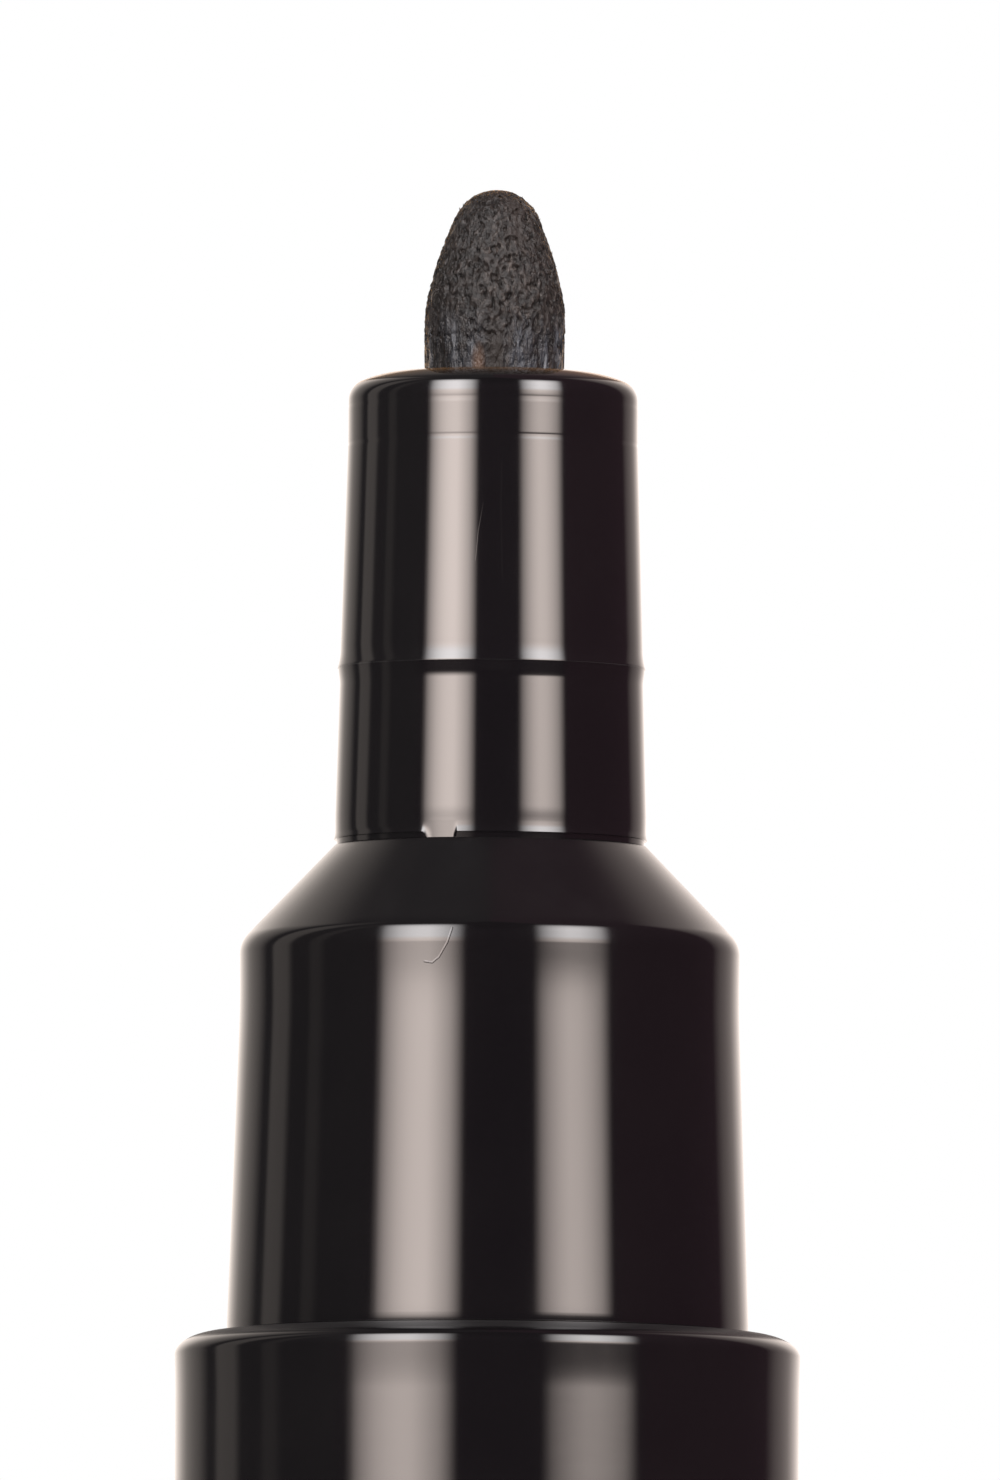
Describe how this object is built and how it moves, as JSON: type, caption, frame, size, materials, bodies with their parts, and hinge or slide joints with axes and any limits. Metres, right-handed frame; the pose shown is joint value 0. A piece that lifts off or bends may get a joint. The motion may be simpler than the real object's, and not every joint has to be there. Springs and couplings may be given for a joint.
{
  "type": "paint marker",
  "caption": "Valve-action paint marker with a bullet fibre nib, stepped neck, conical shoulder and plain barrel, standing on its posted cap.",
  "frame": {"origin": "centre of the flat disc in the cap's closed end, on which the marker stands", "axes": "+Z along the marker's axis, from the cap's closed end to the nib's tip; the form is round, so X and Y are free"},
  "size_m": [0.015, 0.015, 0.1615],
  "materials": {
    "gloss_black": "moulded black plastic, high gloss",
    "natural_plastic": "natural moulded plastic, satin",
    "nib_fibre": "pressed fibre soaked with black paint, matt and streaked",
    "seal_rubber": "soft seal rubber, matt",
    "spring_steel": "drawn spring wire",
    "ball_steel": "polished steel ball"
  },
  "bodies": {
    "barrel": {"barrel": "gloss_black", "front_section": "gloss_black", "section_seal": "seal_rubber", "nozzle": "gloss_black", "nib_collar": "gloss_black", "valve_seat": "seal_rubber", "spring_cage": "natural_plastic", "valve_spring": "spring_steel", "tail_plug": "gloss_black"},
    "writing_unit": {"nib": "nib_fibre", "valve_stem": "natural_plastic"},
    "ball": {"mixing_ball": "ball_steel"},
    "cap": {"cap_shell": "gloss_black", "cap_disc": "gloss_black", "cap_liner": "natural_plastic"}
  },
  "joints": [
    {"name": "nib_press", "type": "slide", "parent": "barrel", "child": "writing_unit", "axis": [0, 0, -1], "range_m": [0, 0.0016], "stiffness_N_per_m": 300, "springref_m": -0.002, "deforming": ["valve_spring"]},
    {"name": "ball_travel", "type": "slide", "parent": "barrel", "child": "ball", "axis": [0, 0, 1], "range_m": [0, 0.09]},
    {"name": "cap_pull", "type": "slide", "parent": "barrel", "child": "cap", "axis": [0, 0, -1], "range_m": [0, 0.025]}
  ]
}
